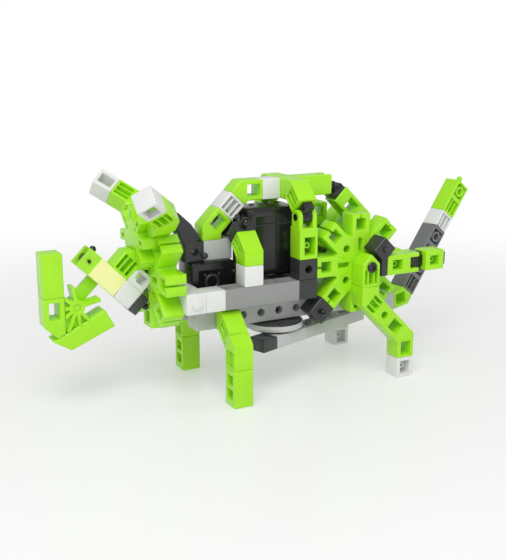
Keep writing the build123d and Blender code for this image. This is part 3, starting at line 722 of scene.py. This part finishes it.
@dataclass
class HubWebs:
    """Raised webs and a collar on the faces of the octagonal hubs.

    Attributes:
        webs: Number of webs round a hub.
        proud: How far they stand out, less than the legs' side play.
        inner: Ring's radius to the middle of a web, in modules.
        length: Length of a web, in modules.
        thick: Thickness of a web, in modules.
        collar: Inner and outer radius of the collar, in modules.
        slope: Width of the collar's sloped edges, in modules.
    """

    webs: int = 8
    proud: float = 0.0003
    inner: float = 1.12
    length: float = 0.66
    thick: float = 0.07
    collar: tuple[float, float] = (0.40, 0.47)
    slope: float = 0.015

    def build(self) -> None:
        """Make the webs on both wheel hubs and on the mask."""
        for name in ("wheel_hub_near", "wheel_hub_far"):
            low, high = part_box(name)
            side = -1.0 if low.y < 0 else 1.0
            face = low.y if side < 0 else high.y
            middle = hub_centre(name)
            middle.y = face
            self._face(f"{name}_webs", middle, Vector((0, side, 0)), self.proud)
        low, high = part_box("mask_hub")
        middle = Vector((low.x, 0, (low.z + high.z) / 2))
        self._face("mask_webs", middle, Vector((-1, 0, 0)), self.proud * 2)

    def _face(self, name: str, centre: Vector, normal: Vector, proud: float) -> None:
        """Make the webs on one face.

        Args:
            name: Name of the piece.
            centre: Middle of the hub's face.
            normal: Outward direction of the face.
            proud: Height of the webs.
        """
        u = module()
        web = rounded_box(Vector((self.length * u, self.thick * u, proud * 3)), proud * 0.4,
                          Vector((0, 0, -proud * 0.5)))
        ring = REPEAT.repeat(Layout.RING, web, self.webs, Plastic.LIME, radius=self.inner * u)
        spin = Matrix.Rotation(pi / self.webs, 4, "Z")
        inner, outer = (radius * u for radius in self.collar)
        profile = ring_profile(inner, outer, proud, proud * 0.7, proud, self.slope * u)
        mesh = joined(name, moved(ring, spin), lathe(profile, 48, "collar"))
        mesh.transform(turn_to(normal, centre))
        add_piece(name, mesh, Plastic.LIME, "chassis")


@dataclass
class AxleCaps:
    """Black star-socket caps pushed on the ends of the rear hip axle.

    Attributes:
        radius: Radius of a cap, in modules.
        height: Height of a cap in metres.
        play: Gap between a cap and the turning leg.
        star: Side of the star recess, in modules.
        stub: Radius of the stub that plugs into the axle, in metres.
        root: Depth of the stub in metres.
    """

    radius: float = 0.27
    height: float = 0.0012
    play: float = 0.0002
    star: float = 0.22
    stub: float = 0.0024
    root: float = 0.002

    def build(self) -> None:
        """Make one cap on each side."""
        u = module()
        r, h, slope = self.radius * u, self.height, self.height * 0.3
        blank = lathe([(0, -self.root), (self.stub, -self.root), (self.stub, 0), (r, 0), (r, h - slope),
                       (r - slope, h), (0, h)], 40, "axle_cap")
        cap = carve(blank, (star_prism(self.star * u, h * 1.6), Matrix.Translation((0, 0, h))))
        for side, sign in (("near", -1.0), ("far", 1.0)):
            low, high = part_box(f"rear_thigh_{side}")
            centre = hub_centre(f"wheel_hub_{side}")
            centre.y = (low.y if sign < 0 else high.y) + sign * self.play
            add_piece(f"axle_cap_{side}", moved(cap, turn_to(Vector((0, sign, 0)), centre)), Plastic.BLACK,
                      "chassis")


@dataclass
class ControlBoxFittings:
    """Screws, vent, keys, sockets and lid seam of the control box.

    Attributes:
        screw: Radius of a screw head in metres.
        inset: Distance from the case's edge to a screw, in modules.
        slats: Number of slats in the vent.
        slat: Length of a slat in modules, and its depth and height in metres.
        slat_step: Distance from slat to slat, in modules.
        slat_foot: Height of the lowest slat over the case's foot, in modules.
        keys: Number of round keys on the top.
        key: Radius of a key, and of its flat, in metres.
        key_step: Distance from key to key, in modules.
        key_place: First key from the case's head end and from the centre plane, in modules.
        ports: Number of sockets in the case's tail end.
        port: Outer size of a socket's rim in metres.
        mouth: Size of a socket's mouth in metres.
        port_step: Distance from socket to socket, in modules.
        port_foot: Height of the lowest socket over the case's foot, in modules.
        seam: Height of the lid's seam over the case's middle, in modules.
        seam_thick: Thickness of the seam in metres.
    """

    screw: float = 0.0016
    inset: float = 0.2
    slats: int = 9
    slat: tuple[float, float, float] = (0.9, 0.0008, 0.0011)
    slat_step: float = 0.14
    slat_foot: float = 0.5
    keys: int = 3
    key: tuple[float, float] = (0.0021, 0.0017)
    key_step: float = 0.55
    key_place: tuple[float, float] = (0.85, 0.42)
    ports: int = 3
    port: tuple[float, float, float] = (0.0016, 0.0092, 0.0062)
    mouth: tuple[float, float, float] = (0.003, 0.0074, 0.0042)
    port_step: float = 0.7
    port_foot: float = 0.85
    seam: float = 0.9
    seam_thick: float = 0.0007

    def build(self) -> None:
        """Make all fittings of the control box."""
        low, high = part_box("control_box")
        self._screws(low, high)
        self._vent(low, high)
        self._keys(low, high)
        self._sockets(low, high)
        self._seam(low, high)

    def _screws(self, low: Vector, high: Vector) -> None:
        """Put a screw in each corner of both flanks.

        Args:
            low: Low corner of the case.
            high: High corner of the case.
        """
        edge = self.inset * module()
        across = Vector((high.x - low.x - 2 * edge, 0, 0))
        rise = Vector((0, 0, high.z - low.z - 2 * edge))
        pair = REPEAT.repeat(Layout.ROW, cross_screw(self.screw), 2, Plastic.DARK_GREY, step=across)
        meshes = []
        for side, y in ((-1.0, low.y), (1.0, high.y)):
            turn = Matrix.Rotation(-side * pi / 2, 4, "X")
            for lift in (Vector(), rise):
                corner = Vector((low.x + edge, y, low.z + edge)) + lift
                meshes.append(moved(pair, Matrix.Translation(corner) @ turn))
        add_piece("control_box_screws", joined("screws", *meshes), Plastic.DARK_GREY, "chassis")

    def _vent(self, low: Vector, high: Vector) -> None:
        """Make the slats on the far flank.

        Args:
            low: Low corner of the case.
            high: High corner of the case.
        """
        u = module()
        length, depth, height = self.slat
        slat = rounded_box(Vector((length * u, depth, height)), 0.0002)
        vent = REPEAT.repeat(Layout.ROW, slat, self.slats, Plastic.DARK_GREY,
                             step=Vector((0, 0, self.slat_step * u)))
        vent.transform(Matrix.Translation(((low.x + high.x) / 2, high.y, low.z + self.slat_foot * u)))
        add_piece("control_box_vent", vent, Plastic.DARK_GREY, "chassis")

    def _keys(self, low: Vector, high: Vector) -> None:
        """Make the row of round keys on the top.

        Args:
            low: Low corner of the case.
            high: High corner of the case.
        """
        u = module()
        outer, flat = self.key
        root, shoulder, rim, dish = 0.0006, 0.0005, 0.0009, 0.0007
        profile = [(0, -root), (outer, -root), (outer, shoulder), (flat, rim), (0, dish)]
        row = REPEAT.repeat(Layout.ROW, lathe(profile, 32, "key"), self.keys, Plastic.LIGHT_GREY,
                            step=Vector((self.key_step * u, 0, 0)))
        inwards, sideways = (offset * u for offset in self.key_place)
        row.transform(Matrix.Translation((low.x + inwards, sideways, high.z)))
        add_piece("control_box_keys", row, Plastic.LIGHT_GREY, "chassis")

    def _sockets(self, low: Vector, high: Vector) -> None:
        """Make the column of wire sockets in the tail end.

        Args:
            low: Low corner of the case.
            high: High corner of the case.
        """
        u = module()
        rim, mouth = rounded_box(Vector(self.port), 0.0005), rounded_box(Vector(self.mouth), 0.0003)
        port = carve(rim, (mouth, Matrix.Translation((self.port[0], 0, 0))))
        ports = REPEAT.repeat(Layout.ROW, port, self.ports, Plastic.MID_GREY,
                              step=Vector((0, 0, self.port_step * u)))
        ports.transform(Matrix.Translation((high.x, 0, low.z + self.port_foot * u)))
        add_piece("control_box_sockets", ports, Plastic.MID_GREY, "chassis")

    def _seam(self, low: Vector, high: Vector) -> None:
        """Make the seam under the lid, which shows on the flanks only.

        Args:
            low: Low corner of the case.
            high: High corner of the case.
        """
        sunk, proud = 0.0024, 0.0004
        size = Vector((high.x - low.x - sunk, high.y - low.y + proud, self.seam_thick))
        middle = Vector(((low.x + high.x) / 2, 0, (low.z + high.z) / 2 + self.seam * module()))
        seam = rounded_box(size, 0.0002, middle, "lid_seam")
        add_piece("control_box_lid_seam", seam, Plastic.DARK_GREY, "chassis")


@dataclass
class MotorFittings:
    """Screws and end ring of the motor housing.

    Attributes:
        screw: Radius of a screw head in metres.
        bolts: Screws round the gear head.
        bolt_ring: Radius of the ring of screws, in modules.
        collar: Inner and outer radius of the end ring, in modules.
        slope: Width of the end ring's sloped edges, in modules.
        root: Depth of the end ring in metres.
        proud: Height of the end ring's shoulder, and of its flat, in metres.
        recess: Depth of the near flank's recess, in modules.
    """

    screw: float = 0.0012
    bolts: int = 4
    bolt_ring: float = 0.52
    collar: tuple[float, float] = (0.26, 0.40)
    slope: float = 0.03
    root: float = 0.001
    proud: tuple[float, float] = (0.0006, 0.0010)
    recess: float = 0.1

    def build(self) -> None:
        """Make the ring and screws on both flanks."""
        u = module()
        low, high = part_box("motor_housing")
        centre_x, centre_z = (low.x + high.x) / 2, (low.z + high.z) / 2
        head = cross_screw(self.screw)
        bolts = REPEAT.repeat(Layout.RING, head, self.bolts, Plastic.DARK_GREY, radius=self.bolt_ring * u)
        inner, outer = (radius * u for radius in self.collar)
        profile = ring_profile(inner, outer, self.root, *self.proud, self.slope * u)
        spin = Matrix.Rotation(pi / self.bolts, 4, "Z")
        unit = joined("gear_head", moved(bolts, spin), lathe(profile, 44, "gear_head_ring"))
        far = moved(unit, turn_to(Vector((0, 1, 0)), Vector((centre_x, high.y, centre_z))))
        near = moved(unit, turn_to(Vector((0, -1, 0)), Vector((centre_x, low.y + self.recess * u, centre_z))))
        add_piece("motor_gear_heads", joined("gear_heads", near, far), Plastic.DARK_GREY, "chassis")


@dataclass
class DriveRim:
    """Smooth pale rim of the drive disc, and the spokes on its lower face.

    Attributes:
        spokes: Raised spokes.
        band: Half height of the rim in metres.
        proud: How far the rim stands out of the disc.
        sunk: How far the rim reaches into the disc.
        spoke: Length and place of a spoke as shares of the disc's radius.
        spoke_width: Width of a spoke in metres.
        rise: Height of a spoke, less than the link's side play.
        chamfer: From the rim's lower edge to the disc's lower face.
    """

    spokes: int = 12
    band: float = 0.0021
    proud: float = 0.0007
    sunk: float = 0.0006
    spoke: tuple[float, float] = (0.5, 0.6)
    spoke_width: float = 0.0012
    rise: float = 0.00025
    chamfer: float = 0.0009

    def build(self) -> None:
        """Make the rim and spokes, which turn with the disc."""
        low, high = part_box("drive_disc")
        r, h = (high.x - low.x) / 2, self.band
        joint = next(item for item in frame["joints"] if item["child"] == "disc")
        centre = Vector((joint["pos_m"][0], joint["pos_m"][1], self._rim_height()))
        root, edge, crown = r - self.sunk, r + self.proud * 0.6, r + self.proud
        rim = lathe([(root, -h), (edge, -h), (crown, -h * 0.8), (crown, h * 0.8), (edge, h), (root, h),
                     (root, -h)], 72, "rim")
        rim.transform(Matrix.Translation(centre))
        add_piece("drive_rim", rim, Plastic.LIGHT_GREY, "disc")
        length, place = (share * r for share in self.spoke)
        spoke = rounded_box(Vector((length, self.spoke_width, self.rise * 3)), self.rise * 0.4,
                            Vector((0, 0, self.rise * 0.5)))
        spokes = REPEAT.repeat(Layout.RING, spoke, self.spokes, Plastic.DARK_GREY, radius=place)
        spokes.transform(Matrix.Translation(centre - Vector((0, 0, h + self.chamfer))))
        add_piece("drive_disc_spokes", spokes, Plastic.DARK_GREY, "disc")

    @staticmethod
    def _rim_height() -> float:
        """Return the height of the middle of the disc's rim."""
        mesh = frame["nodes"]["drive_disc"].data
        low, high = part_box("drive_disc")
        reach = (high.x - low.x) / 2
        middle = (high.x + low.x) / 2
        rim = [v.co.z for v in mesh.vertices if abs(abs(v.co.x - middle) - reach) < 1e-5]
        return sum(rim) / len(rim)


@dataclass(frozen=True)
class PinSpot:
    """Where a snap pin sits, in modules from the low corner of a node's box.

    Attributes:
        name: Name of the pair of pins.
        node: CAD node that holds them, mirrored over the centre plane.
        offset: Place of the near pin's collar.
        out: Direction of the near pin.
        size: Size of the pin, as a factor.
    """

    name: str
    node: str
    offset: tuple[float, float, float]
    out: tuple[float, float, float]
    size: float = 1.0


@dataclass
class SnapPins:
    """Black collared snap pins left in spare sockets.

    Attributes:
        shank: Radius of the shank in metres.
        collar: Radius of the collar in metres.
        length: Length of a pin in metres.
        root: Depth of the shank in its socket, in metres.
        rim: Height of the collar, and of the neck's foot above it, in metres.
        split: Width of the slit in the head, in metres.
        spots: Where the pins sit.
    """

    shank: float = 0.0015
    collar: float = 0.0026
    length: float = 0.0052
    root: float = 0.001
    rim: tuple[float, float] = (0.0007, 0.0010)
    split: float = 0.0006
    spots: tuple[PinSpot, ...] = (
        PinSpot("clip_pins", "box_elbows", (0.5, 1.066, 1.773), (0, -1, 1), size=1.45),
        PinSpot("corner_pins", "corner_blocks", (0.726, 0.0, 0.726), (0, -1, 0)),
    )

    def build(self) -> None:
        """Make each pair of pins."""
        pin = self._pin()
        u = module()
        for spot in self.spots:
            low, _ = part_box(spot.node)
            place = low + Vector(spot.offset) * u
            scaled = moved(pin, Matrix.Scale(spot.size, 4))
            near = moved(scaled, turn_to(Vector(spot.out), place))
            flip = Vector((spot.out[0], -spot.out[1], spot.out[2]))
            far = moved(scaled, turn_to(flip, Vector((place.x, -place.y, place.z))))
            add_piece(spot.name, joined(spot.name, near, far), Plastic.BLACK, "chassis")

    def _pin(self) -> bpy.types.Mesh:
        """Turn one pin and split its head."""
        s, c, h = self.shank, self.collar, self.length
        wide, tall = c * 0.95, c * 0.8
        ball = [(wide * sin(radians(a)), h - tall + tall * cos(radians(a))) for a in range(130, 0, -13)]
        blank = lathe([(0, -self.root), (s, -self.root), (s, 0), (c, 0), (c, self.rim[0]), (s, self.rim[1]),
                       *ball, (0, h)], 28, "pin")
        slit = rounded_box(Vector((c * 2.4, self.split, h * 0.7)), 0.0001, Vector((0, 0, h)))
        return carve(blank, (slit, Matrix()))


@dataclass(frozen=True)
class WebSpot:
    """An open cell that has moulded webs round a boss inside.

    Attributes:
        node: CAD node with the cell.
        body: Body that the node rides on.
        offset: Middle of the cell from the low corner of the node's box, in modules.
        width: Width of the opening, in modules.
        height: Height of the opening, in modules.
        plastic: Finish of the webs.
        along: Direction of the cell's hole.
        twin: True where the node holds a mirrored cell on the far side too.
    """

    node: str
    body: str
    offset: tuple[float, float, float]
    width: float
    height: float
    plastic: Plastic = Plastic.LIME
    along: tuple[float, float, float] = (0, -1, 0)
    twin: bool = False


@dataclass
class CellWebs:
    """Crossed webs and a socket boss inside the open cells.

    Attributes:
        web: Thickness of a web, in modules.
        depth: Depth of the webs, in modules.
        boss: Outer radius of the boss, in modules.
        bite: How far a web runs into the cell's wall, in modules.
        overlap: Where a web starts in the boss, as a share of the boss's radius.
        proud: Height of the boss above the cell's middle, as a share of the webs' depth.
    """

    web: float = 0.06
    depth: float = 0.34
    boss: float = 0.15
    bite: float = 0.03
    overlap: float = 0.9
    proud: float = 0.62

    def spots(self) -> list[WebSpot]:
        """Return every cell that gets webs."""
        found = [
            WebSpot("rear_arm_tip", "rear_arm", (0.55, 0.5, 0.5), 0.55, 0.5),
            WebSpot("rear_arm_rod", "chassis", (0.6, 0.5, 0.5), 0.6, 0.5),
            WebSpot("arch_posts", "chassis", (0.55, 0.5, 0.65), 0.6, 0.9, twin=True),
        ]
        for side in ("near", "far"):
            found.append(WebSpot(f"rear_foot_{side}", f"leg_rear_{side}", (0.5, 0.5, 0.525), 0.6, 0.72,
                                 Plastic.WHITE))
            for level in (0.6, 1.3):
                found.append(WebSpot(f"front_shin_{side}", f"leg_front_{side}", (0.5, 0.5, level), 0.55, 0.5,
                                     along=(-1, 0, 0)))
        return found

    def build(self) -> None:
        """Make the webs of every open cell."""
        u = module()
        for index, spot in enumerate(self.spots()):
            low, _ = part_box(spot.node)
            unit = self._unit(spot)
            place = low + Vector(spot.offset) * u
            meshes = [moved(unit, turn_to(Vector(spot.along), place))]
            if spot.twin:
                meshes.append(moved(unit, turn_to(Vector(spot.along), Vector((place.x, -place.y, place.z)))))
            add_piece(f"{spot.node}_webs_{index}", joined("webs", *meshes), spot.plastic, spot.body)

    def _unit(self, spot: WebSpot) -> bpy.types.Mesh:
        """Make the webs of one cell about local Z.

        Args:
            spot: The cell.

        Returns:
            The webs and their boss.
        """
        u = module()
        web, depth, boss = self.web * u, self.depth * u, self.boss * u
        meshes = []
        for reach, turn in ((spot.width, 0.0), (spot.height, pi / 2)):
            start = boss * self.overlap
            length = (reach / 2 + self.bite) * u - start
            rib = rounded_box(Vector((length, web, depth)), web * 0.12)
            pair = REPEAT.repeat(Layout.RING, rib, 2, spot.plastic, radius=start + length / 2)
            meshes.append(moved(pair, Matrix.Rotation(turn, 4, "Z")))
        bore, foot, top = boss - web * 0.9, -depth / 2, depth * self.proud
        ring = [(bore, foot), (boss, foot), (boss, top), (bore, top), (bore, foot)]
        return joined("cell_webs", *meshes, lathe(ring, 28, "boss"))


# --------------------------------------------------------------------- stage
@dataclass
class Studio:
    """Pale floor, soft light and the camera.

    Attributes:
        sky: Strength of the even light all round.
        key: Power of the large lamp above the head's side.
        fill: Power of the lamp on the tail's side.
        floor: Half width of the floor.
        fade: Distances from which and to which the floor turns white.
        veil: Share of plain white in the floor under the object.
        gap: How far the floor lies under the feet, in metres.
        aim: Point that both lamps look at.
        eye: Place of the camera.
        heading: Camera's turn from +Y towards +X, in degrees.
        pitch: Camera's tilt below the horizon, in degrees.
        lens: Focal length in millimetres on a full frame.
    """

    sky: float = 0.58
    key: float = 12.5
    fill: float = 1.4
    floor: float = 6.0
    fade: tuple[float, float] = (0.20, 0.70)
    veil: float = 0.30
    gap: float = 0.0003
    aim: tuple[float, float, float] = (0, 0, 0.08)
    eye: tuple[float, float, float] = (-0.3446, -0.6104, 0.2501)
    heading: float = 27.6
    pitch: float = 14.04
    lens: float = 60.25

    def build(self) -> None:
        """Set up the floor, lights, world and camera."""
        self._floor()
        self._lamp("key", Vector((-0.55, -0.85, 1.25)), 0.9, self.key)
        self._lamp("fill", Vector((1.1, -0.5, 0.7)), 0.8, self.fill)
        self._world()
        self._camera()
        bpy.context.scene.view_settings.view_transform = "Standard"

    def _floor(self) -> None:
        """Make the floor, which fades to the white background far out."""
        build = bmesh.new()
        bmesh.ops.create_circle(build, cap_ends=True, segments=64, radius=self.floor)
        mesh = mesh_from(build, "floor")
        mesh.transform(Matrix.Translation((0, 0, -self.gap)))
        floor = bpy.data.objects.new("floor", mesh)
        bpy.context.scene.collection.objects.link(floor)
        material = bpy.data.materials.new("studio_floor")
        material.use_nodes = True
        tree = material.node_tree
        shader = tree.nodes["Principled BSDF"]
        shader.inputs["Base Color"].default_value = (0.93, 0.93, 0.93, 1)
        shader.inputs["Roughness"].default_value = 0.30
        glow = tree.nodes.new("ShaderNodeEmission")
        mix = tree.nodes.new("ShaderNodeMixShader")
        place = tree.nodes.new("ShaderNodeTexCoord")
        length = tree.nodes.new("ShaderNodeVectorMath")
        length.operation = "LENGTH"
        ramp = tree.nodes.new("ShaderNodeMapRange")
        ramp.interpolation_type = "SMOOTHSTEP"
        ramp.inputs["From Min"].default_value, ramp.inputs["From Max"].default_value = self.fade
        ramp.inputs["To Min"].default_value = self.veil
        link = tree.links.new
        link(place.outputs["Object"], length.inputs[0])
        link(length.outputs["Value"], ramp.inputs["Value"])
        link(ramp.outputs["Result"], mix.inputs["Fac"])
        link(shader.outputs["BSDF"], mix.inputs[1])
        link(glow.outputs["Emission"], mix.inputs[2])
        link(mix.outputs["Shader"], tree.nodes["Material Output"].inputs["Surface"])
        mesh.materials.append(material)

    def _lamp(self, name: str, place: Vector, size: float, power: float) -> None:
        """Hang one area lamp that looks at the object.

        Args:
            name: Name of the lamp.
            place: Where it hangs.
            size: Side of the square lamp.
            power: Power in watts.
        """
        data = bpy.data.lights.new(name, "AREA")
        data.size, data.energy = size, power
        lamp = bpy.data.objects.new(name, data)
        lamp.location = place
        lamp.rotation_euler = (Vector(self.aim) - place).to_track_quat("-Z", "Y").to_euler()
        bpy.context.scene.collection.objects.link(lamp)

    def _world(self) -> None:
        """Give even light, and a white background to look at and to reflect."""
        world = bpy.data.worlds.new("studio")
        world.use_nodes = True
        bpy.context.scene.world = world
        tree = world.node_tree
        light = tree.nodes["Background"]
        light.inputs["Color"].default_value = (1, 1, 1, 1)
        light.inputs["Strength"].default_value = self.sky
        white = tree.nodes.new("ShaderNodeBackground")
        white.inputs["Color"].default_value = (1, 1, 1, 1)
        rays = tree.nodes.new("ShaderNodeLightPath")
        mix = tree.nodes.new("ShaderNodeMixShader")
        tree.links.new(rays.outputs["Is Camera Ray"], mix.inputs["Fac"])
        tree.links.new(light.outputs["Background"], mix.inputs[1])
        tree.links.new(white.outputs["Background"], mix.inputs[2])
        tree.links.new(mix.outputs["Shader"], tree.nodes["World Output"].inputs["Surface"])

    def _camera(self) -> None:
        """Place the camera at the head's side, a little above the back."""
        data = bpy.data.cameras.new("camera")
        data.sensor_width, data.lens = 36.0, self.lens
        data.clip_start, data.clip_end = 0.01, 20.0
        camera = bpy.data.objects.new("camera", data)
        camera.location = self.eye
        heading, pitch = radians(self.heading), radians(self.pitch)
        aim = Vector((sin(heading) * cos(pitch), cos(heading) * cos(pitch), -sin(pitch)))
        camera.rotation_euler = aim.to_track_quat("-Z", "Y").to_euler()
        bpy.context.scene.collection.objects.link(camera)
        bpy.context.scene.camera = camera


def main() -> None:
    """Build the sub-assemblies in order."""
    logging.basicConfig(level=logging.INFO, format="%(name)s: %(message)s")
    KitParts().dress()
    for assembly in (HubWebs(), AxleCaps(), ControlBoxFittings(), MotorFittings(), DriveRim(), SnapPins(),
                     CellWebs(), Studio()):
        assembly.build()
        log.info("built %s", type(assembly).__name__)


if __name__ == "__main__":
    main()
